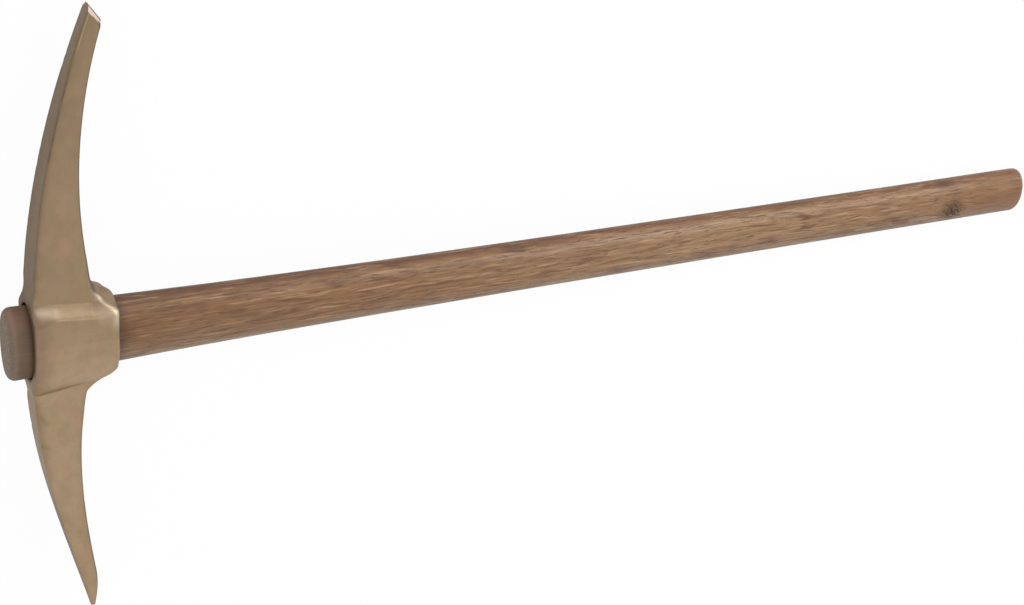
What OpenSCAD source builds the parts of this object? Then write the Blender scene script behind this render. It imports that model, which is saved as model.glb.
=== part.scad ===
// Pick axe: a cast head with a chisel arm and a point arm, slipped over a flared wooden handle.
// Millimetres. X runs along the handle towards the grip and Y towards the chisel arm.
// Z is up from the floor that the lower cheek lies on, and the origin is under the eye's centre.

/* [Arms] */
// Reach of the chisel arm, from the handle's axis to its cutting edge
chisel_reach = 233; // [205:0.5:265]
// How far the cutting edge is swept towards the grip
chisel_sweep = 44; // [34:0.5:54]
// Height of the chisel arm where it leaves the eye
chisel_root = 40; // [36:0.5:43]
// Height of the chisel arm at its edge
chisel_end = 12; // [9.5:0.5:15]
// Width of the chisel arm where it leaves the eye
chisel_root_w = 29; // [25:0.5:34]
// Width of the cutting edge
chisel_edge_w = 12.5; // [10:0.5:18]
// Angle of the ground end to the handle's axis
chisel_grind = 54; // [42:1:58]
// Reach of the point arm, from the handle's axis to its tip
point_reach = 225.5; // [195:0.5:255]
// How far the tip is swept towards the grip
point_sweep = 37; // [28:0.5:46]
// Height of the point arm where it leaves the eye
point_root = 36.5; // [33:0.5:40]
// Width of the point arm where it leaves the eye
point_root_w = 26; // [22:0.5:31]
// Size of the blunt tip
point_tip = 3; // [2:0.5:6]
// Radius of the arms' outer long edges
outer_edge_r = 1; // [0.6:0.1:1.6]
// Radius of the arms' inner long edges
inner_edge_r = 2.4; // [1.5:0.1:3]

/* [Eye] */
// Length of the eye, from its mouth to the end of its collar
eye_len = 59.5; // [54:0.5:66]
// Width across the cheeks
cheek_w = 49.4; // [47:0.2:54]
// Thickness of the collar over the handle
collar_lip = 4; // [3:0.1:6]
// Thickness of the collar under the handle
collar_low_lip = 3.2; // [2.6:0.1:6]
// How far the collar's top rounds off towards the cheeks
collar_crown = 6; // [3:0.5:9]
// How far the collar's underside rounds off towards the cheeks
collar_low_crown = 12; // [8:0.5:14]
// How far the collar's end is bowed back at the cheeks
collar_bow = 1.8; // [0.6:0.1:3]
// How far the mouth's face is bowed back at the cheeks
mouth_bow = 0.4; // [0.2:0.1:1.5]
// Room between the collar and the handle
collar_gap = 0.35; // [0.3:0.05:0.6]
// Room between the mouth and the handle's sides
mouth_gap = 0.8; // [0.4:0.05:1.2]
// Room over and under the handle in the mouth
mouth_room = 1.6; // [0.8:0.1:2.4]

/* [Handle] */
// Whole length of the handle
handle_len = 900; // [750:5:1000]
// How far the flared end stands out of the eye's mouth
butt_out = 15; // [8:0.5:24]
// Height of the flared end
butt_h = 54.2; // [51.4:0.2:56]
// Thickness of the flared end
butt_t = 33.6; // [33.2:0.2:36]
// Radius round the flared end's face
butt_round = 6; // [2:0.5:7]
// Height of the handle in the collar
neck_h = 49; // [46:0.2:50]
// Thickness of the handle in the collar
neck_t = 31.8; // [30:0.2:32.4]
// Height of the grip
grip_h = 39.4; // [35:0.2:43]
// Thickness of the grip
grip_t = 26; // [23:0.2:29]
// Length of the straight oval grip
grip_len = 245; // [150:5:300]
// Radius round the grip's end
grip_round = 8; // [4:0.5:11]

/* [Hidden] */
// The handle's axis, over the floor
axis_z = cheek_w / 2;
mouth_x = -eye_len / 2;
collar_x = eye_len / 2;
butt_x = mouth_x - butt_out;
grip_end_x = butt_x + handle_len;
grip_x = grip_end_x - grip_len;

// Where the arms leave the eye, and where their outer edges start
up_y = 40;
low_y = 37;
up_step = 2.7;
low_step = 1.7;
up_x = mouth_x + up_step;
low_x = mouth_x + low_step;

// Collar's crest at its end, over and under the axis
crest_y = neck_h / 2 + collar_gap + collar_lip;
low_crest_y = neck_h / 2 + collar_gap + collar_low_lip;
// Rise of the shoulders from the collar's end to the arms
shoulder_rise = 0.6;
low_shoulder_rise = 0.39;
crown_z = 22;
crown_mid = 12;

// Cheeks: run-out to the chisel arm, roll-over to the point arm, and their slant along the handle
cheek_top_y = 31.5;
cheek_run = 9;
cheek_slant = -0.1;
// The run-out climbs along the shoulder near the collar
cheek_climb = 9;
climb_x = 10;
climb_run = 14;
// It is longer at the mouth's corner
cheek_ease = 7;
ease_x = -14;
ease_run = 15;
crease_y = -31.5;
crease_roll = 26;
crease_slant = 0.133;
// The crease fades out towards the collar
crease_fade_x = 2;
crease_fade = 22;
crease_soft = 6;
mouth_edge_r = 6.5;
collar_edge_r = 2.6;

// The last part of the point arm is ground down to the tip
tip_from = 0.82;
tip_taper = 0.235;
tip_cut = 1 - point_tip / (point_root * tip_taper);

// Steps: points on a quarter of an edge, on a cheek, on a face, and round the handle
edge_steps = 4;
cheek_steps = 7;
face_steps = 4;
round_steps = 56;

// The chisel's ground end: how far down the sections lean towards it, and the bevel on each side of it
grind_run = 46;
bevel_w = 0.26 * chisel_edge_w;
bevel_back = 1.1 * bevel_w;

function clamp(v) = min(1, max(0, v));
function smooth(v) = let (u = clamp(v)) u * u * (3 - 2 * u);
function soft_min(a, b, k) = min(a, b) - pow(max(k - abs(a - b), 0), 2) / (4 * k);
function soft_max(a, b, k) = -soft_min(-a, -b, k);
function mix(a, b, t) = a + (b - a) * t;

// Chisel arm: place along it, its outer edge, its height and its half width
function up_t(y) = (y - up_y) / (chisel_reach - up_y);
function up_out(y) = up_x + chisel_sweep * (0.28 * up_t(y) + 0.72 * pow(up_t(y), 2));
function up_high(y) = mix(chisel_root, chisel_end, 1.77 * up_t(y) - 0.77 * pow(up_t(y), 2));
function up_half(y) = mix(chisel_root_w, chisel_edge_w, up_t(y)) / 2;

// Point arm: the same, with the ground tip
function low_t(y) = clamp((-y - low_y) / (point_reach - low_y));
function low_out(y) = low_x + point_sweep * (1.75 * pow(low_t(y), 2) - 0.75 * pow(low_t(y), 3));
function tip_factor(t) = 1 - tip_cut * pow(max(0, t - tip_from) / (1 - tip_from), 2);
function low_body(t) = 1 - (1.285 - tip_taper) * t + 0.285 * t * t;
function low_high(y) = point_root * low_body(low_t(y)) * tip_factor(low_t(y));
function low_half(y) = point_root_w / 2 * (1 - 0.5 * low_t(y)) * tip_factor(low_t(y));

// Outer face: the arms, and the mouth's flat face between them
function outer_x(y) =
    y > 0 ? mix(mouth_x, up_out(y), smooth((y - 24) / 18))
    : mix(mouth_x, low_out(y), smooth((-y - 28) / 12));

// The faces of the eye are bowed back towards the cheeks
function eye_part(y) = smooth((46 - abs(y)) / 16);
function mouth_part(y) = eye_part(y) * smooth((34 + y) / 20);
function outer_at(y, z) = outer_x(y) + mouth_bow * pow(z / crown_z, 2) * mouth_part(y);

// Inner face: the arms, the shoulders and the collar's end, lower towards the cheeks
function top_inner(y) =
    soft_max(up_out(y) + up_high(y), collar_x + (crest_y - y) / shoulder_rise, 8);
function low_inner(y) =
    soft_max(low_out(y) + low_high(y), collar_x + (y + low_crest_y) / low_shoulder_rise, 18);
function crown(y, z) = smooth((62 - abs(y)) / 16)
    * (y > 0 ? collar_crown * z * z / (z * z + pow(crown_mid, 2)) : collar_low_crown * pow(z / crown_z, 2));
function collar_end(y, z) = collar_x - collar_bow * pow(z / crown_z, 2) + 4 * max(0, y - 45);
function inner_x(y, z) =
    y > 0 ? soft_min(collar_end(y, z), top_inner(y + crown(y, z)), 4)
    : soft_min(collar_end(y, z), low_inner(y - crown(y, z)), 7);

// Half width of the head at a place on its side
function climb(x) = cheek_climb * smooth((x - climb_x) / climb_run);
function ease(x) = cheek_ease * smooth((ease_x - x) / ease_run);
function cheek_part(x, y) =
    smooth((cheek_top_y + cheek_slant * x + climb(x) - y) / (cheek_run + climb(x) + ease(x)));
function top_half(x, y) = mix(up_half(y), cheek_w / 2, cheek_part(x, y));
function crease_u(x, y) = clamp((y - crease_y - crease_slant * x) / crease_roll);
function soft_u(x, y) = (y - crease_y - crease_slant * x + crease_soft) / (crease_roll + crease_soft);
function roll_over(x, y) =
    mix(sqrt(1 - pow(1 - crease_u(x, y), 2)), smooth(soft_u(x, y)),
        smooth((x - crease_fade_x) / crease_fade));
function bottom_half(x, y) = mix(low_half(y), cheek_w / 2, roll_over(x, y));
function half_w(x, y) = y > 0 ? top_half(x, y) : bottom_half(x, y);

// Radius of a long edge, larger round the eye and never more than the section takes
function edge_r(y, arm_r, eye_r) =
    min(mix(arm_r, eye_r, eye_part(y)), 0.3 * half_w(0, y), 0.25 * (inner_x(y, 0) - outer_x(y)));

// Sections lean along the slanted crease, so that it stays one clean line, and to the chisel's ground end
function slant(y) = crease_slant * smooth((y + 62) / 24) * smooth((-4 - y) / 20);
function lean(y) = -tan(chisel_grind) * smooth((y - chisel_reach + grind_run) / grind_run);
function at_y(y, x) = y + slant(y) * x + lean(y) * (x - outer_x(y));
function bevel(y) = bevel_w * clamp((y - chisel_reach + bevel_back) / bevel_back);
function wide(y, x) = half_w(x, at_y(y, x)) - bevel(y);
// Where a leaning section meets the inner face, found in steps
function reach_in(y, z, x, n) = n == 0 ? x : reach_in(y, z, mix(x, inner_x(at_y(y, x), z), 0.6), n - 1);
function inner_at(y, z) = reach_in(y, z, inner_x(y, z), 9);

// One section of the head, from the outer face's middle over the upper cheek to the inner face's middle
function outer_face(y, h) =
    [for (i = [0:1:2]) let (z = h * i / 3, x = outer_at(y, z)) [x, at_y(y, x), z]];
function edge(y, r, x, h, from) =
    [for (i = [0:1:edge_steps]) let (a = from - 90 * i / edge_steps, px = x + r * cos(a))
        [px, at_y(y, px), h + r * sin(a)]];
function cheek_line(y, x0, x1) =
    [for (i = [1:1:cheek_steps - 1]) let (x = mix(x0, x1, i / cheek_steps)) [x, at_y(y, x), wide(y, x)]];
function inner_face(y, h) =
    [for (i = [1:1:face_steps]) let (z = h * (1 - i / face_steps), x = inner_at(y, z))
        [x, at_y(y, x), z]];
function half_ring(y) =
    let (r0 = edge_r(y, outer_edge_r, mouth_edge_r),
        r1 = edge_r(y, inner_edge_r, collar_edge_r),
        x0 = outer_at(y, wide(y, outer_x(y)) - r0) + r0,
        h0 = wide(y, x0) - r0,
        x1 = inner_at(y, wide(y, inner_at(y, h0)) - r1) - r1,
        h1 = wide(y, x1) - r1)
    concat(outer_face(y, h0), edge(y, r0, x0, h0, 180), cheek_line(y, x0, x1), edge(y, r1, x1, h1, 90),
        inner_face(y, h1));
function mirrored(half) = [for (i = [len(half) - 2:-1:1]) [half[i][0], half[i][1], -half[i][2]]];
function ring(y) = let (half = half_ring(y)) concat(half, mirrored(half));

// Stations along the head, from the chisel to the point, close where the form turns fast
function run(from, to, n) = [for (i = [0:1:n - 1]) mix(from, to, i / n)];
function roll(from, to, n) = [for (i = [0:1:n - 1]) mix(from, to, sin(90 * i / n))];
head_stations = concat(
    run(chisel_reach, chisel_reach - bevel_back, 1), run(chisel_reach - bevel_back, 62, 16),
    run(62, 46, 6), run(46, 36, 5), run(36, 21, 16), run(21, crease_y + crease_roll, 5),
    roll(crease_y + crease_roll, crease_y, 10), run(crease_y - 0.01, -50, 12), run(-50, -62, 4),
    run(-62, -point_reach + 35, 9), run(-point_reach + 35, -point_reach, 7), [-point_reach]);

// Skin over rings of equal length, closed by a flat face at both ends, which fans out from one point
module skin(rings, fan = 0) {
    n = len(rings[0]);
    last = len(rings) - 1;
    points = [for (one = rings) for (p = one) p];
    sides = [for (i = [0:1:last - 1]) for (j = [0:1:n - 1]) let (k = (j + 1) % n) for (t = [0, 1])
        t == 0 ? [i * n + j, i * n + k, (i + 1) * n + k] : [i * n + j, (i + 1) * n + k, (i + 1) * n + j]];
    first_cap = [for (j = [0:1:n - 1]) (fan + n - j) % n];
    last_cap = [for (j = [0:1:n - 1]) last * n + (fan + j) % n];
    polyhedron(points = points, faces = concat(sides, [first_cap, last_cap]), convexity = 6);
}

// Oval section of the handle or the eye
function oval(x, high, thick) =
    [for (i = [0:1:round_steps - 1]) let (a = 360 * (i + 0.5) / round_steps)
        [x, high / 2 * cos(a), thick / 2 * sin(a)]];
function in_eye(x) = (x - butt_x) / (collar_x - butt_x);
function stem_high(x) = mix(butt_h, neck_h, in_eye(x));
function stem_thick(x) = mix(butt_t, neck_t, in_eye(x));

// The flare from the neck down to the grip is quick at first and then slow
function flare_s(x) = 1 - (x - collar_x) / (grip_x - collar_x);
function flare_part(x) = 0.48 * pow(flare_s(x), 1.6) + 0.52 * pow(flare_s(x), 6);
function flare_high(x) = mix(grip_h, neck_h, flare_part(x));
function flare_thick(x) = mix(grip_t, neck_t, flare_part(x));

module eye_hole() {
    spare = 8;
    grow_h = (stem_high(mouth_x) + 2 * mouth_room - neck_h - 2 * collar_gap) / eye_len;
    grow_t = (stem_thick(mouth_x) + 2 * mouth_gap - neck_t - 2 * collar_gap) / eye_len;
    skin([for (x = [collar_x + spare, mouth_x - spare]) let (d = collar_x - x)
        oval(x, neck_h + 2 * collar_gap + grow_h * d, neck_t + 2 * collar_gap + grow_t * d)]);
}

module head() {
    color([0.64, 0.53, 0.40]) translate([0, 0, axis_z]) difference() {
        skin([for (y = head_stations) ring(y)], fan = 3 + edge_steps / 2);
        eye_hole();
    }
}

module handle() {
    butt_end = [for (i = [0:1:5]) let (a = 90 * i / 6, in = 2 * butt_round * (1 - sin(a)))
        oval(butt_x + butt_round * (1 - cos(a)), butt_h - in, butt_t - in)];
    stem = [for (x = [butt_x + butt_round, mouth_x, 0, collar_x]) oval(x, stem_high(x), stem_thick(x))];
    taper = [for (i = [1:1:18]) let (x = mix(collar_x, grip_x, pow(i / 18, 1.35)))
        oval(x, flare_high(x), flare_thick(x))];
    grip_end = [for (i = [0:1:7]) let (a = 90 * i / 7, in = 2 * grip_round * (1 - cos(a)))
        oval(grip_end_x - grip_round * (1 - sin(a)), grip_h - in, grip_t - in)];
    color([0.55, 0.41, 0.31]) translate([0, 0, axis_z])
        skin([for (one = concat(butt_end, stem, taper, grip_end))
            [for (i = [round_steps - 1:-1:0]) one[i]]]);
}

head();
handle();
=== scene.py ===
"""Looks of the pick axe: a satin cast bronze head on an oiled wooden handle, lying on a pale floor.

Shapes are worked out in millimetres: X runs along the handle to the grip, Y towards the chisel arm
and Z up from the handle's axis. Meshes are made in metres, in the part's own frame.
"""

import math

import bmesh
import bpy
import numpy as np
from mathutils import Matrix, Vector, noise


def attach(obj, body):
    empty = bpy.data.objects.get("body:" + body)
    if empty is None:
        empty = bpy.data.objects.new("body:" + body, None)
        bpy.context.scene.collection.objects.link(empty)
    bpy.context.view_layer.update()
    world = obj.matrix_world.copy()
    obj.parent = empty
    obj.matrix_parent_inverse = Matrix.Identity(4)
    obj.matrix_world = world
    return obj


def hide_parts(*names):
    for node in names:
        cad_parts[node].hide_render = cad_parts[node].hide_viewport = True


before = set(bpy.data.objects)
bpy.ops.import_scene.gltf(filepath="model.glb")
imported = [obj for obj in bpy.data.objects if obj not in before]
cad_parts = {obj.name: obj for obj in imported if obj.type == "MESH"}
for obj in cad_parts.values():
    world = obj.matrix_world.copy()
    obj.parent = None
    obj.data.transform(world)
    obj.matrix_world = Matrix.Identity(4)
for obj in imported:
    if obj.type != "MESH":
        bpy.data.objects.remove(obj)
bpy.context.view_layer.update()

MM = 0.001

# Sizes of the part, as in its source. Arms:
CHISEL_REACH, CHISEL_SWEEP, CHISEL_GRIND = 233.0, 44.0, 54.0
CHISEL_ROOT, CHISEL_END = 40.0, 12.0
CHISEL_ROOT_W, CHISEL_EDGE_W = 29.0, 12.5
POINT_REACH, POINT_SWEEP = 225.5, 37.0
POINT_ROOT, POINT_ROOT_W, POINT_TIP = 36.5, 26.0, 3.0
OUTER_EDGE_R, INNER_EDGE_R = 1.0, 2.4
# Eye, with the collar's edge worn rounder than in the source:
EYE_LEN, CHEEK_W = 59.5, 49.4
COLLAR_LIP, COLLAR_LOW_LIP = 4.0, 3.2
COLLAR_CROWN, COLLAR_LOW_CROWN = 6.0, 12.0
COLLAR_BOW, MOUTH_BOW = 1.8, 0.4
COLLAR_GAP, MOUTH_GAP, MOUTH_ROOM = 0.35, 0.8, 1.6
MOUTH_EDGE_R, COLLAR_EDGE_R = 6.5, 4.2
# Handle:
HANDLE_LEN, BUTT_OUT = 900.0, 15.0
BUTT_H, BUTT_T, BUTT_ROUND = 54.2, 33.6, 6.0
NECK_H, NECK_T = 49.0, 31.8
GRIP_H, GRIP_T, GRIP_LEN, GRIP_ROUND = 39.4, 26.0, 245.0, 8.0

# Places that follow from them
AXIS_Z = CHEEK_W / 2
MOUTH_X, COLLAR_X = -EYE_LEN / 2, EYE_LEN / 2
BUTT_X = MOUTH_X - BUTT_OUT
GRIP_END_X = BUTT_X + HANDLE_LEN
GRIP_X = GRIP_END_X - GRIP_LEN
CREST_Y = NECK_H / 2 + COLLAR_GAP + COLLAR_LIP
LOW_CREST_Y = NECK_H / 2 + COLLAR_GAP + COLLAR_LOW_LIP

# Where the arms leave the eye, and how they bend and taper along their length
UP_Y, LOW_Y = 40.0, 37.0
UP_X, LOW_X = MOUTH_X + 2.7, MOUTH_X + 1.7
CHISEL_BEND, CHISEL_TAPER = 0.72, -0.77
POINT_BEND, POINT_TAPER, POINT_NARROW = -0.75, 0.285, 0.5
TIP_FROM, TIP_TAPER = 0.82, 0.235
TIP_CUT = 1 - POINT_TIP / (POINT_ROOT * TIP_TAPER)

# The eye's forms, each with its start or end along Y and the length of its change
UP_START, UP_RUN = 24, 18
LOW_START, LOW_RUN = 28, 12
EYE_STOP, EYE_RUN = 46, 16
BOW_START, BOW_RUN = -34, 20
CROWN_STOP, CROWN_RUN, CROWN_Z, CROWN_MID = 62, 16, 22.0, 12.0
SHOULDER_RISE, SHOULDER_SOFT = 0.6, 8
LOW_SHOULDER_RISE, LOW_SHOULDER_SOFT = 0.39, 18
END_SOFT, LOW_END_SOFT = 4, 7
END_LEAVE_Y, END_LEAVE = 45, 4
CHEEK_TOP_Y, CHEEK_RUN, CHEEK_SLANT = 31.5, 9.0, -0.1
CHEEK_CLIMB, CLIMB_X, CLIMB_RUN = 9.0, 10.0, 14.0
CHEEK_EASE, EASE_X, EASE_RUN = 7.0, -14.0, 15.0
CREASE_Y, CREASE_ROLL, CREASE_SLANT = -31.5, 26.0, 0.133
CREASE_FADE_X, CREASE_FADE, CREASE_SOFT = 2.0, 22.0, 6.0
SLANT_START, SLANT_START_RUN, SLANT_STOP, SLANT_STOP_RUN = -62, 24, -4, 20
# An edge's radius is never more than these shares of the section's half width and height
EDGE_OF_WIDTH, EDGE_OF_HEIGHT = 0.3, 0.25

# The chisel's ground end
GRIND_RUN = 46.0
BEVEL_W = 0.26 * CHISEL_EDGE_W
BEVEL_BACK = 1.1 * BEVEL_W
BEVEL_STEP = 0.2

# Searches: for a point's section, and for where a leaning section meets the inner face
SEARCH_FROM, SEARCH_STEPS = 100.0, 24
MEET_STEPS, MEET_SHARE = 9, 0.6


def clamp(v):
    return np.clip(v, 0.0, 1.0)


def smooth(v):
    u = clamp(v)
    return u * u * (3 - 2 * u)


def rise(v, start, length):
    """Goes smoothly from 0 at the start to 1, over a length."""
    return smooth((v - start) / length)


def fall(v, stop, length):
    """Goes smoothly from 1 to 0 at the stop, over a length."""
    return smooth((stop - v) / length)


def bell(v, width):
    """Is 1 at zero and fades to both sides."""
    return np.exp(-(v / width) ** 2)


def soft_min(a, b, k):
    return np.minimum(a, b) - np.maximum(k - np.abs(a - b), 0) ** 2 / (4 * k)


def soft_max(a, b, k):
    return -soft_min(-a, -b, k)


def mix(a, b, t):
    return a + (b - a) * t


# The head's form, as in the part's source: "up" is the chisel arm and "low" is the point arm
def up_t(y):
    return (y - UP_Y) / (CHISEL_REACH - UP_Y)


def up_out(y):
    return UP_X + CHISEL_SWEEP * mix(up_t(y), up_t(y) ** 2, CHISEL_BEND)


def up_high(y):
    return mix(CHISEL_ROOT, CHISEL_END, mix(up_t(y), up_t(y) ** 2, CHISEL_TAPER))


def up_half(y):
    return mix(CHISEL_ROOT_W, CHISEL_EDGE_W, up_t(y)) / 2


def low_t(y):
    return clamp((-y - LOW_Y) / (POINT_REACH - LOW_Y))


def low_out(y):
    return LOW_X + POINT_SWEEP * mix(low_t(y) ** 2, low_t(y) ** 3, POINT_BEND)


def tip_factor(t):
    return 1 - TIP_CUT * (np.maximum(0, t - TIP_FROM) / (1 - TIP_FROM)) ** 2


def low_high(y):
    t = low_t(y)
    return POINT_ROOT * (1 - (1 + POINT_TAPER - TIP_TAPER) * t + POINT_TAPER * t * t) * tip_factor(t)


def low_half(y):
    return POINT_ROOT_W / 2 * (1 - POINT_NARROW * low_t(y)) * tip_factor(low_t(y))


def outer_x(y):
    top = mix(MOUTH_X, up_out(y), rise(y, UP_START, UP_RUN))
    low = mix(MOUTH_X, low_out(y), rise(-y, LOW_START, LOW_RUN))
    return np.where(y > 0, top, low)


def eye_part(y):
    return fall(np.abs(y), EYE_STOP, EYE_RUN)


def outer_at(y, z):
    bow = MOUTH_BOW * (z / CROWN_Z) ** 2
    return outer_x(y) + bow * eye_part(y) * rise(y, BOW_START, BOW_RUN)


def top_inner(y):
    shoulder = COLLAR_X + (CREST_Y - y) / SHOULDER_RISE
    return soft_max(up_out(y) + up_high(y), shoulder, SHOULDER_SOFT)


def low_inner(y):
    shoulder = COLLAR_X + (y + LOW_CREST_Y) / LOW_SHOULDER_RISE
    return soft_max(low_out(y) + low_high(y), shoulder, LOW_SHOULDER_SOFT)


def inner_x(y, z):
    dip = np.where(y > 0, COLLAR_CROWN * z * z / (z * z + CROWN_MID ** 2),
                   COLLAR_LOW_CROWN * (z / CROWN_Z) ** 2)
    dip = dip * fall(np.abs(y), CROWN_STOP, CROWN_RUN)
    end = COLLAR_X - COLLAR_BOW * (z / CROWN_Z) ** 2 + END_LEAVE * np.maximum(0, y - END_LEAVE_Y)
    return np.where(y > 0, soft_min(end, top_inner(y + dip), END_SOFT),
                    soft_min(end, low_inner(y - dip), LOW_END_SOFT))


def cheek_part(x, y):
    """How far the arm's side has run out to the cheek, from 0 to 1."""
    climb = CHEEK_CLIMB * rise(x, CLIMB_X, CLIMB_RUN)
    ease = CHEEK_EASE * fall(x, EASE_X, EASE_RUN)
    return fall(y, CHEEK_TOP_Y + CHEEK_SLANT * x + climb, CHEEK_RUN + climb + ease)


def over_crease(x, y):
    return y - CREASE_Y - CREASE_SLANT * x


def half_w(x, y):
    top = mix(up_half(y), CHEEK_W / 2, cheek_part(x, y))
    over = over_crease(x, y)
    sharp = np.sqrt(1 - (1 - clamp(over / CREASE_ROLL)) ** 2)
    soft = rise(over, -CREASE_SOFT, CREASE_ROLL + CREASE_SOFT)
    low = mix(low_half(y), CHEEK_W / 2, mix(sharp, soft, rise(x, CREASE_FADE_X, CREASE_FADE)))
    return np.where(y > 0, top, low)


def edge_r(y, arm_r, eye_r):
    return min(mix(arm_r, eye_r, eye_part(y)), EDGE_OF_WIDTH * half_w(0.0, y),
               EDGE_OF_HEIGHT * (inner_x(y, 0.0) - outer_x(y)))


def slant(y):
    return CREASE_SLANT * rise(y, SLANT_START, SLANT_START_RUN) * fall(y, SLANT_STOP, SLANT_STOP_RUN)


def lean(y):
    return -math.tan(math.radians(CHISEL_GRIND)) * rise(y, CHISEL_REACH - GRIND_RUN, GRIND_RUN)


def at_y(y, x):
    return y + slant(y) * x + lean(y) * (x - outer_x(y))


def wide(y, x):
    bevel = BEVEL_W * clamp((y - CHISEL_REACH + BEVEL_BACK) / BEVEL_BACK)
    return half_w(x, at_y(y, x)) - bevel


def station(x, y):
    """The place on the outer face of the section that a point near the chisel's end belongs to."""
    low, high = SEARCH_FROM + 0 * y, CHISEL_REACH + 1.0 + 0 * y
    for _ in range(SEARCH_STEPS):
        half = (low + high) / 2
        under = at_y(half, x) < y
        low, high = np.where(under, half, low), np.where(under, high, half)
    return low


def inner_at(y, z):
    """Where a leaning section meets the inner face, found in steps."""
    x = inner_x(y, z)
    for _ in range(MEET_STEPS):
        x = mix(x, inner_x(at_y(y, x), z), MEET_SHARE)
    return x


FACE_POINTS, EDGE_POINTS, CHEEK_POINTS = 12, 8, 36


def head_ring(y):
    """One closed section of the head, through both cheeks."""
    r0, r1 = edge_r(y, OUTER_EDGE_R, MOUTH_EDGE_R), edge_r(y, INNER_EDGE_R, COLLAR_EDGE_R)
    x0 = outer_at(y, wide(y, outer_x(y)) - r0) + r0
    h0 = wide(y, x0) - r0
    x1 = inner_at(y, wide(y, inner_at(y, h0)) - r1) - r1
    h1 = wide(y, x1) - r1
    turn = np.radians(90) * np.arange(EDGE_POINTS + 1) / EDGE_POINTS
    line = mix(x0, x1, np.arange(1, CHEEK_POINTS) / CHEEK_POINTS)
    outer_z = h0 * np.arange(FACE_POINTS) / FACE_POINTS
    inner_z = h1 * (1 - np.arange(1, FACE_POINTS + 1) / FACE_POINTS)
    x = np.concatenate([outer_at(y, outer_z), x0 - r0 * np.cos(turn), line,
                        x1 + r1 * np.sin(turn), inner_at(y, inner_z)])
    z = np.concatenate([outer_z, h0 + r0 * np.sin(turn), wide(y, line),
                        h1 + r1 * np.cos(turn), inner_z])
    half = np.column_stack([x, at_y(y, x), z])
    back = half[-2:0:-1] * (1, 1, -1)
    return np.vstack([half, back])


def run(a, b, n):
    return [mix(a, b, i / n) for i in range(n)]


def roll(a, b, n):
    return [mix(a, b, math.sin(math.pi / 2 * i / n)) for i in range(n)]


# Sections along the head, from the chisel to the point, close where the form turns fast
BEVEL_Y = CHISEL_REACH - BEVEL_BACK
ROLL_Y = CREASE_Y + CREASE_ROLL
TIP_Y = 35 - POINT_REACH
HEAD_STATIONS = (
    [CHISEL_REACH, CHISEL_REACH - 0.5]
    + run(CHISEL_REACH - 1.0, BEVEL_Y + BEVEL_STEP, 3) + [BEVEL_Y + BEVEL_STEP]
    + run(BEVEL_Y, 62, 70) + run(62, 46, 12) + run(46, 36, 16) + run(36, 17, 44)
    + run(17, ROLL_Y, 12) + roll(ROLL_Y, CREASE_Y, 26)
    + run(CREASE_Y - 0.01, -50, 20) + run(-50, -62, 8) + run(-62, -88, 18)
    + run(-88, TIP_Y, 30) + run(TIP_Y, -POINT_REACH, 20) + [-POINT_REACH])


def grid_mesh(name, rings):
    """Quads over closed rings of equal length, with a flat face over both ends."""
    n = len(rings[0])
    verts = np.vstack(rings)
    faces = []
    for i in range(len(rings) - 1):
        a, b = i * n, (i + 1) * n
        faces += [(a + j, a + (j + 1) % n, b + (j + 1) % n, b + j) for j in range(n)]
    last = (len(rings) - 1) * n
    faces.append(tuple(range(n - 1, -1, -1)))
    faces.append(tuple(range(last, last + n)))
    mesh = bpy.data.meshes.new(name)
    mesh.from_pydata(verts.tolist(), [], faces)
    bm = bmesh.new()
    bm.from_mesh(mesh)
    bmesh.ops.recalc_face_normals(bm, faces=bm.faces)
    bm.to_mesh(mesh)
    bm.free()
    return mesh


def place(name, data):
    obj = bpy.data.objects.new(name, data)
    bpy.context.scene.collection.objects.link(obj)
    return obj


def in_eye(x):
    return (x - BUTT_X) / (COLLAR_X - BUTT_X)


def stem_high(x):
    return mix(BUTT_H, NECK_H, in_eye(x))


def stem_thick(x):
    return mix(BUTT_T, NECK_T, in_eye(x))


# The eye widens from the collar to the mouth
COLLAR_H, COLLAR_T = NECK_H + 2 * COLLAR_GAP, NECK_T + 2 * COLLAR_GAP
GROW_H = (stem_high(MOUTH_X) + 2 * MOUTH_ROOM - COLLAR_H) / EYE_LEN
GROW_T = (stem_thick(MOUTH_X) + 2 * MOUTH_GAP - COLLAR_T) / EYE_LEN
MOUTH_RIM, COLLAR_RIM, RIM_TURN = 1.5, 0.9, 72
CUT_SPARE = 12
AROUND, RIM_RINGS, WALL_RINGS = 128, 7, 12


def eye_half(x):
    """Half height and half thickness of the eye at a place along it."""
    return (COLLAR_H + GROW_H * (COLLAR_X - x)) / 2, (COLLAR_T + GROW_T * (COLLAR_X - x)) / 2


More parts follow.
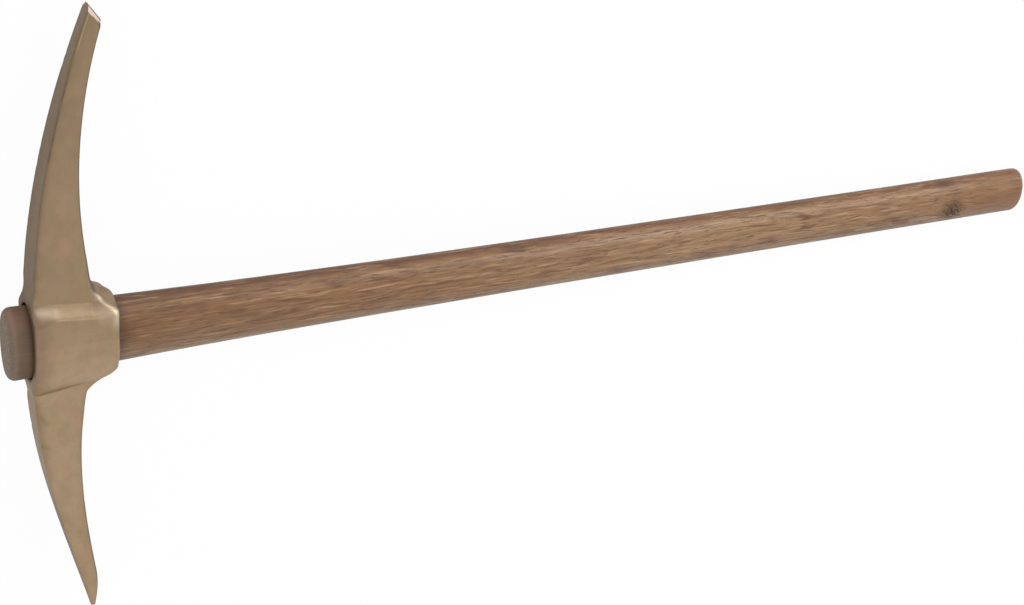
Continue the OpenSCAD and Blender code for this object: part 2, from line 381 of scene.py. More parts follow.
def eye_cutter():
    """The tapered oval eye with rounded rims, which follow the bowed faces of mouth and collar."""
    a = 2 * np.pi * (np.arange(AROUND) + 0.5) / AROUND

    def wall(x, out):
        high, thick = eye_half(x)
        return np.column_stack([x + 0 * a, (high + out) * np.cos(a), (thick + out) * np.sin(a)])

    def meet(face, x):
        for _ in range(6):
            p = wall(x, 0)
            x = face(p[:, 1], p[:, 2])
        return x

    def rim(face, size, t):
        return wall(face + size * (1 - math.sin(t)), abs(size) * (1 - math.cos(t)))

    mouth = meet(outer_at, MOUTH_X + 0 * a)
    collar = meet(inner_x, COLLAR_X + 0 * a)
    arc = np.radians(np.linspace(RIM_TURN, 0, RIM_RINGS))
    open_out = 1 - math.cos(arc[0])
    rings = [wall(mouth - CUT_SPARE, MOUTH_RIM * open_out)]
    rings += [rim(mouth, MOUTH_RIM, t) for t in arc]
    rings += [wall(mix(mouth + MOUTH_RIM, collar - COLLAR_RIM, s), 0)
              for s in np.linspace(0, 1, WALL_RINGS)[1:-1]]
    rings += [rim(collar, -COLLAR_RIM, t) for t in arc[::-1]]
    rings.append(wall(collar + CUT_SPARE, COLLAR_RIM * open_out))
    return grid_mesh("eye_cutter", rings)


def hole_distance(p):
    """How far a point lies outside the eye's wall, negative inside it, about."""
    high, thick = eye_half(p[:, 0])
    s = np.hypot(p[:, 1] / high, p[:, 2] / thick)
    return (s - 1) * np.hypot(p[:, 1], p[:, 2]) / np.maximum(s, 1e-6)


SEED_SHIFT = (17.3, 5.1, 9.7)


def wave(p, size, seed):
    """Smooth noise in about -1 to 1, at one length of wave."""
    shift = Vector([seed * s for s in SEED_SHIFT])
    return np.array([noise.noise(Vector(q) / size + shift) for q in p])


def read_points(mesh, what):
    values = np.empty(len(mesh.vertices) * 3)
    mesh.vertices.foreach_get(what, values)
    return values.reshape(-1, 3)


def dress(mesh, p, marks, sharp):
    """Gives a mesh its worn points, its finishes and painted light and shade as attributes, and smooth
    shading.
    """
    mesh.vertices.foreach_set("co", ((p + (0, 0, AXIS_Z)) * MM).ravel())
    for name, values in marks.items():
        layer = mesh.attributes.new(name, "FLOAT", "POINT")
        layer.data.foreach_set("value", np.asarray(values, np.float32))
    mesh.polygons.foreach_set("use_smooth", np.ones(len(mesh.polygons), bool))
    mesh.set_sharp_from_angle(angle=math.radians(sharp))
    mesh.update()


# Two shallow wrinkles that the casting left on the point arm's upper side, from and to, in X and Y
WRINKLES = (((-25.1, -53.8), (-21.2, -59.9)), ((-26.0, -75.1), (-21.3, -79.0)))
WRINKLE_W, WRINKLE_DEEP = 1.7, 0.3
# Ground by hand: height and length of the soft waves, and depth and size of the nicks along the edges
SWELLS = ((0.10, 42.0), (0.035, 13.0))
NICK_DEEP, NICK_SIZE, NICK_RARE, NICK_FROM_Y = 1.1, 4.5, 0.42, 48
EYE_CLEAR = 6
HEAD_SHARP = 28

# Points of the eye's wall lie this near it, and this far beyond the mouth and the collar at most
HOLE_NEAR, HOLE_SPARE = 0.4, 2
# Widths of the head's finishes and painted shade: worn edges, dirt and painted shade round the eye's
# rims, and the crease's shade above and below it
EDGE_W, RIM_DIRT_SHADE_W = 2.6, 2.2
FOLD_OVER_W, FOLD_UNDER_W = 6.5, 1.0
# The arms' dark outer edges: widths on the outer face and on the side, and a seam in the chisel's
UP_ARRIS, LOW_ARRIS = (1.2, 2.2), (3.5, 3.0)
SEAM_IN, SEAM_W, SEAM_SIDE_W, SEAM_BREAK = 0.6, 0.55, 0.6, 7.0
# The painted highlight beside the chisel's outer edge: its length, and its place from the edge
STRIP_LEN, STRIP_FADE, STRIP_FROM, STRIP_TO = 34, 12, 0.7, 2.2
# The painted highlights on the shoulder's rim and on the cheek's run-out
RIM_HIGHLIGHT_W, RIDGE_W = 4.5, 2.6


def wrinkles(x, y, z):
    """How deep a point lies in a wrinkle, from 0 to 1."""
    deep = 0 * x
    for (ax, ay), (bx, by) in WRINKLES:
        length = (bx - ax) ** 2 + (by - ay) ** 2
        along = clamp(((x - ax) * (bx - ax) + (y - ay) * (by - ay)) / length)
        off = np.hypot(x - mix(ax, bx, along), y - mix(ay, by, along))
        deep = np.maximum(deep, bell(off, WRINKLE_W))
    return deep * (z > 4)


def head_marks(p, n):
    """The head's finishes, painted shade and painted highlights over its points, and how far wear moves
    each point out.
    """
    x, y, z = p.T
    level = np.abs(n[:, 2])
    d_out = np.abs(x - outer_at(y, z))
    d_in = np.abs(inner_x(y, z) - x)
    d_side = np.abs(half_w(x, y) - np.abs(z))
    hole = hole_distance(p)
    in_hole = (np.abs(hole) < HOLE_NEAR) & (np.abs(x) < COLLAR_X + HOLE_SPARE)
    arm = rise(np.abs(y), 34, 10)
    marks = {}

    corner = np.minimum(np.hypot(d_out, d_side), np.hypot(d_in, d_side))
    edge = marks["edge"] = np.where(in_hole, 0, bell(corner, EDGE_W))

    # Dirt and painted shade in the eye, round its rims and where the chisel arm meets the shoulder
    root = bell(x - up_out(y) - up_high(y), 2.5) * bell(y - CREST_Y - 10, 5)
    rim = bell(np.maximum(hole, 0), RIM_DIRT_SHADE_W) * ((x < MOUTH_X + 8) | (x > COLLAR_X - 8))
    marks["grime_and_shade"] = np.maximum.reduce([0.8 * root, 0.8 * rim, 1.0 * in_hole])

    # The sides are ground, and the inner and outer faces are left as cast, rougher and darker; part of
    # their darkening is painted shade of faces turned from the light
    outer = np.where(y > 0, 0.5 * rise(y, 18, 12), 0.18 + 0.5 * rise(-y, 90, 50))
    cast = np.where(n[:, 0] > 0, arm * fall(level, 0.95, 0.3), fall(level, 0.8, 0.4) * outer)
    marks["cast"] = np.where(in_hole, 0, cast)

    # Painted highlights on the shoulder's rim, along the run-out to the cheek and on the run-out beside
    # the shoulder
    painted_highlight = bell(d_in, RIM_HIGHLIGHT_W) * rise(level, 0.3, 0.25)
    painted_highlight *= rise(y, 8, 14) * fall(y, 47, 4) * rise(x, 8, 8)
    run_out_highlight = bell(y - CHEEK_TOP_Y + 0.55 * CHEEK_RUN - CHEEK_SLANT * x, RIDGE_W)
    run_out_highlight *= (0.16 + 0.46 * rise(-x, 10, 10)) * fall(x, 12, 16) * rise(x, MOUTH_X + 1, 3)
    run_out_highlight += 0.32 * rise(x, 9, 7) * bell(y - 25, 6)
    marks["painted_highlight"] = np.where(in_hole, 0, np.maximum(painted_highlight, run_out_highlight * (level > 0.3)))

    # Freshly ground bevel at the chisel's end, narrower away from its outer edge, painted bright partly
    # as a painted highlight
    section = station(x, y)
    narrow = BEVEL_BACK * (1 - 0.3 * rise(d_out, 3, 9))
    fresh_and_highlight = clamp((section - CHISEL_REACH + narrow) / BEVEL_STEP) * rise(d_out, 0.3, 0.6)
    marks["fresh_and_highlight"] = fresh_and_highlight * fall(section, CHISEL_REACH - 0.4, 0.5)

    # Shade along the crease, mostly above it, and in the wrinkles
    over = over_crease(x, y)
    fold = np.where(over > 0, bell(over, FOLD_OVER_W), bell(over, FOLD_UNDER_W))
    fold *= (np.abs(z) > 9) * fall(x, 18, 30)
    wrinkle = wrinkles(x, y, z)
    marks["fold"] = np.maximum(fold, 0.5 * wrinkle)

    # Painted shade by the mouth, and in the hollow and at the foot of the run-out to the cheek
    marks["mouth"] = np.where(in_hole, 0, fall(x, MOUTH_X + 14, 12) * fall(np.abs(y), 34, 8))
    part = cheek_part(x, y)
    hollow = rise(part, 0, 0.03) * fall(part, 0.5, 0.45) + 0.95 * bell(part - 0.9, 0.09)
    hollow += 0.5 * bell(x - 7, 7) * rise(part, 0, 0.2) * fall(part, 1, 0.1)
    marks["hollow"] = np.where((y > 4) & ~in_hole, clamp(hollow), 0)

    # The arms' outer edges are dark lines, with a broken seam along the middle of the chisel arm's
    up_arris = 0.5 * bell(d_out, UP_ARRIS[0]) * bell(d_side, UP_ARRIS[1])
    low_arris = 0.45 * bell(d_out, LOW_ARRIS[0]) * bell(d_side, LOW_ARRIS[1]) * rise(y, -132, 84)
    seam = bell(d_out - SEAM_IN, SEAM_W) * bell(d_side, SEAM_SIDE_W)
    seam *= rise(y, 108, 32) * fall(y, 200, 12) * clamp(0.75 + 0.7 * wave(p, SEAM_BREAK, 4))
    marks["arris"] = np.maximum(np.where(y > 0, up_arris, low_arris) * arm, 1.45 * seam)

    # Beside it the chisel arm is shaded, as painted shade, and near its end a narrow painted highlight
    # lies beside the edge
    shade = np.where(y > 0, np.exp(-d_out / (2 + 7 * clamp(up_t(y)))), 0) * arm
    marks["shade"] = shade * rise(level, 0.6, 0.3)
    edge_highlight = rise(section, CHISEL_REACH - STRIP_LEN, STRIP_FADE) * (level > 0.5)
    marks["edge_highlight"] = edge_highlight * rise(d_out, STRIP_FROM, 0.5) * fall(d_out, STRIP_TO, 0.7)

    swell = sum(high * wave(p, size, seed) for seed, (high, size) in enumerate(SWELLS, 1))
    nick = clamp(wave(p, NICK_SIZE, 3) - NICK_RARE) * edge * (np.abs(y) > NICK_FROM_Y)
    keep = rise(np.maximum(hole, 0), 0, EYE_CLEAR)
    return marks, swell * keep - NICK_DEEP * nick - WRINKLE_DEEP * wrinkle


def make_head():
    body = place("head_blank", grid_mesh("head_blank", [head_ring(y) for y in HEAD_STATIONS]))
    cutter = place("eye_cutter", eye_cutter())
    cut = body.modifiers.new("eye", "BOOLEAN")
    cut.operation = "DIFFERENCE"
    cut.solver = "EXACT"
    cut.object = cutter
    bpy.context.view_layer.update()
    dg = bpy.context.evaluated_depsgraph_get()
    mesh = bpy.data.meshes.new_from_object(body.evaluated_get(dg))
    mesh.name = "pick_head"
    for o in (body, cutter):
        bpy.data.objects.remove(o)

    p, n = read_points(mesh, "co"), read_points(mesh, "normal")
    marks, out = head_marks(p, n)
    dress(mesh, p + n * out[:, None], marks, HEAD_SHARP)
    return place("pick_head", mesh)


# The flare from the neck to the grip is quick at first and then slow: shares and powers
FLARE = ((0.48, 1.6), (0.52, 6))
CAP_RINGS, CAP_FROM, CAP_TO = 14, 0.02, 0.97
STEM_RINGS, FLARE_RINGS, GRIP_RINGS, ROUND_RINGS = 60, 150, 64, 11
# Worn surface: height and length of its waves, drawn out along the grain, and where it starts
WEAR_WAVES = ((0.16, 26.0), (0.05, 8.0))
WEAR_DRAWN, WEAR_START, WEAR_RUN = 0.16, COLLAR_X + 2, 30
STEM_INSET, END_FLAT = 0.04, 0.05
HANDLE_SHARP = 40


def handle_size(x):
    """Height and thickness of the handle at a place along it."""
    if x < COLLAR_X:
        return stem_high(x), stem_thick(x)
    if x < GRIP_X:
        s = 1 - (x - COLLAR_X) / (GRIP_X - COLLAR_X)
        part = sum(share * s ** power for share, power in FLARE)
        return mix(GRIP_H, NECK_H, part), mix(GRIP_T, NECK_T, part)
    return GRIP_H, GRIP_T


def handle_rings():
    a = 2 * np.pi * np.arange(AROUND) / AROUND

    def ring(x, inset=0.0, share=1.0):
        high, thick = handle_size(x)
        return np.column_stack([x + 0 * a, share * (high / 2 - inset) * np.cos(a),
                                share * (thick / 2 - inset) * np.sin(a)])

    def butt(t):
        return ring(BUTT_X + BUTT_ROUND * (1 - math.cos(t)), BUTT_ROUND * (1 - math.sin(t)))

    def grip_end(t):
        return ring(stop + GRIP_ROUND * math.sin(t), GRIP_ROUND * (1 - math.cos(t)))

    stop = GRIP_END_X - GRIP_ROUND
    caps = np.linspace(CAP_FROM, CAP_TO, CAP_RINGS)
    quarter = np.radians(np.linspace(0, 90, ROUND_RINGS))
    rings = [ring(BUTT_X, BUTT_ROUND, s) for s in caps] + [butt(t) for t in quarter]
    for start, end, count in ((BUTT_X + BUTT_ROUND, COLLAR_X, STEM_RINGS),
                              (COLLAR_X, GRIP_X, FLARE_RINGS), (GRIP_X, stop, GRIP_RINGS)):
        rings += [ring(x) for x in np.linspace(start, end, count)[1:]]
    rings += [grip_end(t) for t in quarter[1:]]
    return rings + [ring(GRIP_END_X, GRIP_ROUND, s) for s in caps[::-1]]


def make_handle():
    mesh = grid_mesh("pick_handle", handle_rings())
    p, n = read_points(mesh, "co"), read_points(mesh, "normal")
    x = p[:, 0]
    ends = np.minimum(x - BUTT_X, GRIP_END_X - x)
    drawn = p * (WEAR_DRAWN, 1.0, 1.0)
    wear = sum(high * wave(drawn, size, seed) for seed, (high, size) in enumerate(WEAR_WAVES, 5))
    wear = np.where(x > COLLAR_X, wear * rise(x, WEAR_START, WEAR_RUN), -STEM_INSET) * (ends > END_FLAT)
    p = p + n * wear[:, None]

    x = p[:, 0]
    facing, level = n[:, 1], n[:, 2]
    marks = {
        # The sawn ends, the darker wood at the collar, the weathered butt, a painted shadow at its foot
        # by the mouth, and its worn edge, lighter partly as a painted highlight
        "end": bell(np.maximum(ends, 0), 1.6),
        "collar": bell(np.maximum(x - COLLAR_X, 0), 5),
        "stub": clamp((MOUTH_X + 4 - x) / 4),
        "mouth_shadow": rise(x, MOUTH_X - 3, 3.5) * (x < MOUTH_X + 8),
        "worn": bell(x - BUTT_X - 3.5, 1.8),
        # How far a point faces the chisel arm, and painted shade along the handle's upper and lower
        # edges
        "facing": facing,
        "brow": fall(level, 0.15, 0.3) * rise(facing, 0.6, 0.2),
        "under": fall(level, 0.74, 0.2) * (facing < 0) * rise(x, 260, 160),
    }
    dress(mesh, p, marks, HANDLE_SHARP)
    return place("pick_handle", mesh)


def linear(r, g, b):
    """A colour written in 0 to 255, as a screen shows it, for a shader socket."""
    f = [v / 255 for v in (r, g, b)]
    return tuple(v / 12.92 if v <= 0.04045 else ((v + 0.055) / 1.055) ** 2.4 for v in f) + (1.0,)


WHITE = (1, 1, 1, 1)
# The mix node's sockets for colours, which share their names with those for other values
MIX_A, MIX_B, MIX_RESULT = 6, 7, 2


class Graph:
    """Short names for the nodes that the materials and the world are made of."""

    def __init__(self, owner, output):
        owner.use_nodes = True
        self.owner = owner
        self.tree = owner.node_tree
        self.tree.nodes.clear()
        self.out = self.node(output)

    def node(self, kind, **values):
        made = self.tree.nodes.new("ShaderNode" + kind)
        for key, value in values.items():
            setattr(made, key, value)
        return made

    def feed(self, socket, value):
        if isinstance(value, bpy.types.NodeSocket):
            self.tree.links.new(value, socket)
        elif value is not None:
            socket.default_value = value

    def show(self, shader):
        self.feed(self.out.inputs["Surface"], shader.outputs[0])

    def math(self, operation, a, b=None, c=None, clamped=False):
        made = self.node("Math", operation=operation, use_clamp=clamped)
        for socket, value in zip(made.inputs, (a, b, c)):
            self.feed(socket, value)
        return made.outputs[0]

    def vector(self, operation, a, b=None):
        made = self.node("VectorMath", operation=operation)
        self.feed(made.inputs[0], a)
        self.feed(made.inputs[1], b)
        return made.outputs["Value" if operation in ("LENGTH", "DOT_PRODUCT") else "Vector"]

    def axes(self, vector):
        made = self.node("SeparateXYZ")
        self.feed(made.inputs[0], vector)
        return tuple(made.outputs)

    def attribute(self, name):
        return self.node("Attribute", attribute_name=name).outputs["Fac"]

    def place_mm(self, sizes=(1, 1, 1), shift=(0, 0, 0)):
        """The place on the object in millimetres, divided by a size along each axis."""
        made = self.node("Mapping")
        self.feed(made.inputs["Vector"], self.node("TexCoord").outputs["Object"])
        self.feed(made.inputs["Scale"], [1000 / s for s in sizes])
        self.feed(made.inputs["Location"], shift)
        return made.outputs[0]

    def noise(self, vector, detail=2, rough=0.5, output="Fac"):
        made = self.node("TexNoise")
        self.feed(made.inputs["Vector"], vector)
        self.feed(made.inputs["Scale"], 1.0)
        self.feed(made.inputs["Detail"], detail)
        self.feed(made.inputs["Roughness"], rough)
        return made.outputs[output]

    def sway(self, sizes, shift=(0, 0, 0)):
        """A vector of noise about zero."""
        moved = self.noise(self.place_mm(sizes, shift), output="Color")
        return self.vector("SUBTRACT", moved, (0.5, 0.5, 0.5))

    def swayed(self, vector, sway, amount):
        return self.vector("ADD", vector, self.vector("MULTIPLY", sway, amount))

    def span(self, value, low, high, to_low=0.0, to_high=1.0, soft=False):
        made = self.node("MapRange", clamp=True)
        if soft:
            made.interpolation_type = "SMOOTHSTEP"
        for socket, v in zip(made.inputs, (value, low, high, to_low, to_high)):
            self.feed(socket, v)
        return made.outputs[0]

    def blend(self, factor, a, b):
        made = self.node("Mix", data_type="RGBA")
        self.feed(made.inputs["Factor"], factor)
        self.feed(made.inputs[MIX_A], a)
        self.feed(made.inputs[MIX_B], b)
        return made.outputs[MIX_RESULT]

    def tint(self, colour, mask, weight, rgb):
        """A colour laid over another where a mask shows."""
        return self.blend(self.math("MULTIPLY", mask, weight), colour, linear(*rgb))

    def layer(self, colour, value, low, high, weight, rgb, soft=False):
        """A colour laid over another as a value goes from low to high."""
        return self.blend(self.span(value, low, high, 0.0, weight, soft), colour, linear(*rgb))

    def bump(self, height, strength, distance):
        made = self.node("Bump")
        self.feed(made.inputs["Strength"], strength)
        self.feed(made.inputs["Distance"], distance)
        self.feed(made.inputs["Height"], height)
        return made.outputs[0]

    def surface(self, **inputs):
        made = self.node("BsdfPrincipled")
        for key, value in inputs.items():
            self.feed(made.inputs[key.replace("_", " ")], value)
        self.show(made)
        return self.owner


def material_graph(name):
    return Graph(bpy.data.materials.new(name), "OutputMaterial")


# Finishes, painted shade and painted highlights of the bronze in the order that they lie over each
# other: attribute, weight and colour
BRONZE_TINTS = (
    # As-cast faces, darker partly as painted shade
    ("cast", 0.9, (104, 90, 77)),
    ("edge", 0.15, (112, 95, 77)),
    # Painted shade by the mouth
    ("mouth", 0.55, (138, 112, 92)),
    # Painted shade in the hollow and at the foot of the run-out
    ("hollow", 0.45, (126, 108, 84)),
    ("fold", 0.6, (132, 100, 66)),
    ("shade", 0.3, (112, 95, 74)),
    # Painted highlights on the shoulder's rim and on the cheek's run-out
    ("painted_highlight", 0.6, (236, 221, 198)),
    # A narrow painted highlight beside the chisel's outer edge
    ("edge_highlight", 0.45, (200, 180, 140)),
    ("arris", 0.55, (92, 74, 56)),
    # Dirt and painted shade in the eye, round its rims and at the chisel arm's root
    ("grime_and_shade", 0.75, (84, 67, 48)),
)


def bronze():
    g = material_graph("bronze")
    reach = g.axes(g.place_mm())[1]
    cloud = g.noise(g.place_mm((46, 60, 46)), detail=3)
    patch = g.noise(g.place_mm((11, 15, 11), (3, 7, 1)), detail=4, rough=0.6)
    hue = g.noise(g.place_mm((12, 17, 12), (8, 2, 4)), detail=3)
    grain = g.noise(g.place_mm((0.7, 0.7, 0.7)))
    linish = g.noise(g.place_mm((0.55, 16, 0.55)), detail=3, rough=0.6)

    # The bronze is lighter at the cheeks than on the chisel arm, whose darker colour is painted shade,
    # and cloudy in tone and hue
    colour = g.layer(linear(178, 153, 123), reach, -10, 60, 1.0, (156, 134, 107), soft=True)
    colour = g.layer(colour, cloud, 0.36, 0.64, 0.5, (172, 143, 116), soft=True)
    colour = g.layer(colour, patch, 0.45, 0.75, 0.5, (150, 129, 101))
    colour = g.layer(colour, grain, 0.3, 0.75, 0.25, (132, 112, 88))
    colour = g.layer(colour, hue, 0.52, 0.68, 0.4, (175, 143, 117), soft=True)
    colour = g.layer(colour, hue, 0.48, 0.32, 0.5, (160, 144, 108), soft=True)
    for name, weight, rgb in BRONZE_TINTS:
        colour = g.tint(colour, g.attribute(name), weight, rgb)
    fresh_and_highlight, grime_and_shade, cast = (g.attribute(name) for name in ("fresh_and_highlight", "grime_and_shade", "cast"))
    # The freshly ground bevel, lighter towards the chisel's end, is partly a painted highlight
    bright = g.layer(linear(206, 186, 156), reach, 218, 231, 1.0, (226, 202, 202))
    colour = g.blend(fresh_and_highlight, colour, bright)

    rough = g.math("ADD", g.span(patch, 0.3, 0.7, 0.40, 0.50), g.span(linish, 0.3, 0.7, -0.03, 0.04))
    rough = g.math("MULTIPLY_ADD", g.math("MAXIMUM", grime_and_shade, cast), 0.12, rough)
    rough = g.math("MULTIPLY_ADD", fresh_and_highlight, -0.12, rough)
    height = g.math("MULTIPLY_ADD", linish, 0.5, g.math("MULTIPLY", grain, 0.6))
    height = g.math("MULTIPLY_ADD", patch, 0.8, height)
    return g.surface(Base_Color=colour, Metallic=1.0, Roughness=rough,
                     Normal=g.bump(height, 0.35, 0.00008))


# A knot and two small stains in the wood: places in the part's frame, and sizes
KNOT, KNOT_SIZE, KNOT_PULL = (772.3, -6.5, 36.8), (12.0, 8.5, 9.5), 2.5
STAINS, STAIN_SIZE = ((340.0, 18.0, 31.0), (764.2, 17.9, 30.2)), (12.0, 4.0, 5.0)
# Rings round a pith that lies outside the handle: its drift along it and its distance, and their width
PITH_Y, PITH_Z, RING_W = (0.012, 6.0), (-0.016, 34.0), 3.4


def wood():
    g = material_graph("oiled_wood")
    end, collar, stub, mouth_shadow = (g.attribute(n) for n in ("end", "collar", "stub", "mouth_shadow"))
    worn, facing, brow, under = (g.attribute(n) for n in ("worn", "facing", "brow", "under"))
    spot = g.place_mm()
    warp = g.sway((190, 24, 24))
    ripple = g.sway((42, 9, 9), (5, 2, 8))
    bent = g.swayed(g.swayed(spot, warp, (0, 16, 16)), ripple, (0, 3, 3))
    along, across, over = g.axes(bent)

    def distance(point, sizes):
        off = g.vector("MULTIPLY", g.vector("SUBTRACT", spot, point), [1 / v for v in sizes])
        return g.vector("LENGTH", g.swayed(off, ripple, (0.9, 0.9, 0.9)))

    # The knot pulls the rings round it
    near = distance(KNOT, KNOT_SIZE)
    pull = g.math("EXPONENT", g.math("MULTIPLY", g.math("MULTIPLY", near, near), -0.45))
    py = g.math("ADD", across, g.math("MULTIPLY_ADD", along, *PITH_Y))
    pz = g.math("ADD", over, g.math("MULTIPLY_ADD", along, *PITH_Z))
    reach = g.math("SQRT", g.math("ADD", g.math("MULTIPLY", py, py), g.math("MULTIPLY", pz, pz)))
    ring = g.math("FRACT", g.math("DIVIDE", g.math("MULTIPLY_ADD", pull, KNOT_PULL, reach), RING_W))
    early = g.math("MULTIPLY", g.span(ring, 0.0, 0.08), g.span(ring, 0.14, 0.40, 1.0, 0.0))

    waved = g.swayed(spot, ripple, (0, 3.6, 3.6))

    def lines(length, width, shift, detail=2):
        drawn = g.vector("MULTIPLY", waved, (1 / length, 1 / width, 1 / width))
        return g.noise(g.vector("ADD", drawn, shift), detail=detail, rough=0.6)

    broken = lines(26.0, 4.4, (7, 3, 1))
    dash = lines(32.0, 1.5, (3, 1, 6))
    fibre = lines(60.0, 1.2, (0, 0, 0), detail=3)
    pore = g.span(lines(14.0, 1.2, (9, 4, 2)), 0.60, 0.66)
    fleck = lines(40.0, 2.2, (4, 9, 5))
    speckle = g.noise(g.place_mm((2.2, 1.5, 1.5), (6, 1, 7)))
    streak = g.noise(g.place_mm((85, 3.4, 3.4), (1, 8, 3)), detail=3, rough=0.6)
    cloud = g.noise(g.place_mm((110, 22, 22), (2, 2, 6)))
    early = g.math("MULTIPLY", early, g.span(broken, 0.42, 0.60))

    # Tone along the handle; the darker top edge is painted shade, and the lower edge is greyish near
    # the head as a painted reflection of the floor and darker towards the grip as painted shade
    colour = g.layer(linear(122, 87, 54), along, 20, 200, 1.0, (138, 99, 61))
    colour = g.layer(colour, along, 240, 480, 1.0, (153, 120, 86), soft=True)
    colour = g.layer(colour, along, 540, 740, 0.9, (136, 102, 68), soft=True)
    colour = g.layer(colour, cloud, 0.35, 0.65, 0.4, (138, 109, 82), soft=True)
    top = g.layer(linear(92, 54, 29), along, 250, 450, 1.0, (106, 62, 34))
    colour = g.blend(g.span(facing, 0.68, 0.95, 0.0, 0.82, soft=True), colour, top)
    # Painted shade along the top edge's far side
    colour = g.tint(colour, brow, 0.5, (70, 60, 46))
    low = g.layer(linear(130, 112, 92), along, 250, 520, 1.0, (94, 75, 57))
    colour = g.blend(g.span(facing, -0.10, -0.85, 0.0, 0.7, soft=True), colour, low)
    colour = g.layer(colour, along, 740, 840, 0.5, (122, 82, 48))
    # Painted shade on the underside towards the grip
    colour = g.tint(colour, under, 0.45, (70, 61, 49))

    # Grain, stronger in the middle of the handle and calmer at the grip's end
    calm = g.span(along, 740, 830, 1.0, 0.5)
    strong = g.math("MULTIPLY", g.span(along, 480, 580, 0.5, 0.85), calm)
    colour = g.layer(colour, streak, 0.45, 0.72, 0.35, (112, 72, 42))
    colour = g.tint(colour, g.span(fleck, 0.55, 0.66, 0.0, 0.42), calm, (190, 154, 120))
    colour = g.layer(colour, fibre, 0.46, 0.62, 0.36, (100, 66, 40))
    colour = g.tint(colour, early, strong, (86, 50, 27))
    colour = g.tint(colour, g.span(dash, 0.56, 0.60, 0.0, 0.48), calm, (82, 48, 26))
    colour = g.tint(colour, pore, 0.5, (72, 42, 23))
    dark = g.math("MULTIPLY", g.span(near, 1.6, 0.3, 0.0, 0.95, soft=True),
                  g.span(speckle, 0.42, 0.58, 0.3, 1.0))
    colour = g.blend(dark, colour, linear(46, 29, 16))
    for stain in STAINS:
        colour = g.layer(colour, distance(stain, STAIN_SIZE), 1.2, 0.4, 0.6, (72, 45, 31), soft=True)

    # The butt is weathered and both ends are sawn; a painted shadow lies on the stub by the mouth, and
    # the handle is darker where it leaves the collar
    weathered = g.layer(linear(144, 126, 106), facing, 0.1, 0.7, 1.0, (168, 134, 116), soft=True)
    colour = g.blend(g.math("MULTIPLY", stub, 0.72), colour, weathered)
    # The butt's worn edge, lighter partly as a painted highlight
    colour = g.tint(colour, worn, 0.4, (182, 162, 142))
    sawn = g.layer(linear(182, 165, 149), speckle, 0.4, 0.65, 1.0, (140, 123, 108))
    colour = g.blend(g.math("MULTIPLY", end, 0.8), colour, sawn)
    # A painted shadow on the stub by the mouth
    colour = g.tint(colour, mouth_shadow, 0.55, (78, 60, 38))
    colour = g.tint(colour, collar, 0.5, (60, 41, 29))

    dull = g.math("MAXIMUM", g.math("MAXIMUM", end, stub), dark)
    rough = g.math("MULTIPLY_ADD", pore, 0.2, g.span(fibre, 0.3, 0.7, 0.40, 0.52))
    rough = g.math("MULTIPLY_ADD", dull, 0.2, rough)
    height = g.math("MULTIPLY_ADD", pore, -0.9, g.math("MULTIPLY", fibre, 0.5))
    height = g.math("MULTIPLY_ADD", early, -0.5, height)
    coat = g.math("MULTIPLY_ADD", dull, -0.34, 0.34, clamped=True)
    bump = g.bump(height, 0.5, 0.0003)
    return g.surface(Base_Color=colour, Roughness=rough, Specular_IOR_Level=0.25, Coat_Weight=coat,
                     Coat_Roughness=0.32, Coat_Normal=bump, Normal=bump)


head = make_head()
head.data.materials.clear()
head.data.materials.append(bronze())
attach(head, "head")
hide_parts("head")

handle = make_handle()
handle.data.materials.append(wood())
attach(handle, "handle")
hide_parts("handle")


# Camera: fitted to the photograph's perspective, for a frame of 1024 by 605
PICTURE_W, FOCAL_PX = 1024, 1800.0
CAMERA_AT = Vector((-288.55, 587.57, 1102.93)) * MM
LOOK = Vector((0.45397, -0.44361, -0.77273)).normalized()
CAMERA_UP = Vector((0.14550, 0.89252, -0.42690)).normalized()


def make_camera():
    lens = bpy.data.cameras.new("camera")
    lens.sensor_fit = "HORIZONTAL"
    lens.sensor_width = 36.0
    lens.lens = FOCAL_PX * lens.sensor_width / PICTURE_W
    lens.clip_start, lens.clip_end = 0.01, 50.0
    camera = place("camera", lens)
    right = LOOK.cross(CAMERA_UP).normalized()
    turn = Matrix((right, right.cross(LOOK), -LOOK)).transposed()
    camera.matrix_world = Matrix.Translation(CAMERA_AT) @ turn.to_4x4()
    bpy.context.scene.camera = camera


make_camera()


# Floor: it touches the lower cheek's edge and the grip's underside, as the tool lies
REST_CHEEK_X, REST_GRIP_X = 22.0, GRIP_END_X - GRIP_ROUND
FLOOR_SLOPE = (AXIS_Z - GRIP_T / 2) / (REST_GRIP_X - REST_CHEEK_X)
FLOOR_HALF, FLOOR_GAP = 6.0, 0.0002
PAPER = (0.86, 0.86, 0.86, 1)
# Shares of plain white that the camera and reflections see. The rest is lit paper, with the shadow.
WHITE_SEEN, WHITE_REFLECTED = 0.96, 0.25


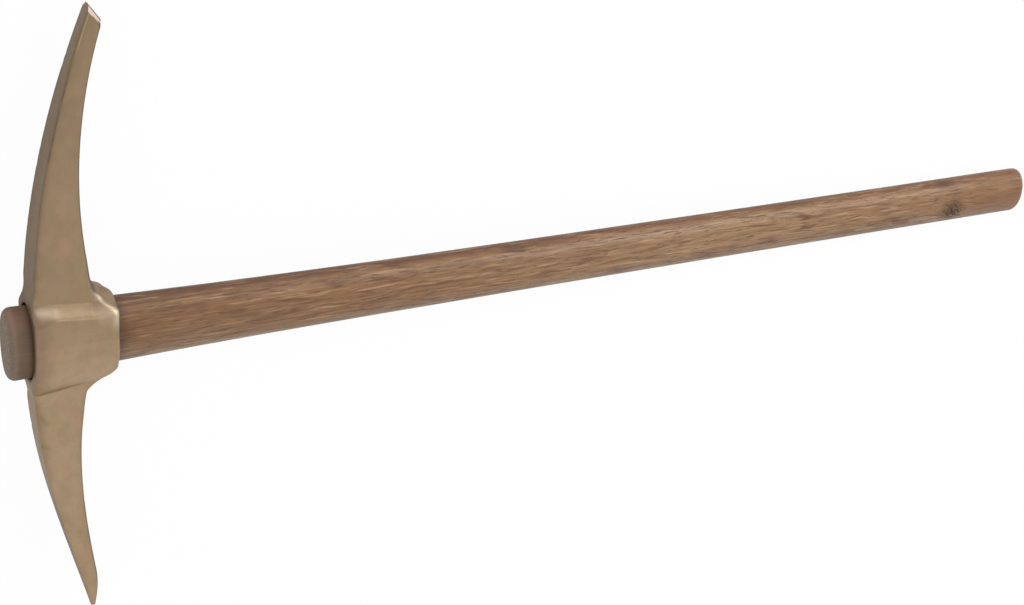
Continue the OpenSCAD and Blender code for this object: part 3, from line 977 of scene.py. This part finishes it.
def make_floor():
    corners = [(FLOOR_HALF * i, FLOOR_HALF * j) for i, j in ((-1, -1), (1, -1), (1, 1), (-1, 1))]
    verts = [(x, y, FLOOR_SLOPE * (x - REST_CHEEK_X * MM) - FLOOR_GAP) for x, y in corners]
    mesh = bpy.data.meshes.new("floor")
    mesh.from_pydata(verts, [], [(0, 1, 2, 3)])
    g = material_graph("floor")
    path = g.node("LightPath")
    seen = g.math("MAXIMUM", path.outputs["Is Camera Ray"], path.outputs["Is Transmission Ray"])
    share = g.math("MULTIPLY_ADD", path.outputs["Is Glossy Ray"], WHITE_REFLECTED,
                   g.math("MULTIPLY", seen, WHITE_SEEN))
    paper = g.node("BsdfDiffuse")
    g.feed(paper.inputs["Color"], PAPER)
    white = g.node("Emission")
    g.feed(white.inputs["Color"], WHITE)
    g.feed(white.inputs["Strength"], 1.0)
    both = g.node("MixShader")
    g.feed(both.inputs["Fac"], share)
    g.feed(both.inputs[1], paper.outputs[0])
    g.feed(both.inputs[2], white.outputs[0])
    g.show(both)
    mesh.materials.append(g.owner)
    floor = place("floor", mesh)


make_floor()


# Light: a white room, a little darker overhead and on the chisel's side
ROOM_LEVEL, ROOM_LEAN = 0.98, (0.0, -0.08, -0.12)
# A soft box high beyond the grip and a low one on the chisel's side: place, aim, width, height, watts
SOFT_BOXES = {
    "key": ((1.35, 0.95, 1.05), (1.35, 0.0, 0.03), 1.3, 0.45, 11),
    "low": ((0.42, 1.70, 0.16), (0.05, 0.0, 0.04), 1.3, 0.28, 3.2),
}


def make_world():
    world = bpy.data.worlds.new("room")
    bpy.context.scene.world = world
    g = Graph(world, "OutputWorld")
    direction = g.node("TexCoord").outputs["Generated"]
    level = g.math("ADD", g.vector("DOT_PRODUCT", direction, ROOM_LEAN), ROOM_LEVEL)
    room = g.node("Background")
    g.feed(room.inputs["Color"], WHITE)
    g.feed(room.inputs["Strength"], level)
    g.show(room)


def soft_box(name, at, aim, width, height, watts):
    light = bpy.data.lights.new(name, "AREA")
    light.shape = "RECTANGLE"
    light.size, light.size_y = width, height
    light.energy = watts
    obj = place(name, light)
    obj.location = at
    obj.rotation_euler = (Vector(aim) - Vector(at)).to_track_quat("-Z", "Y").to_euler()


make_world()
for name, values in SOFT_BOXES.items():
    soft_box(name, *values)

bpy.context.scene.view_settings.view_transform = "Standard"
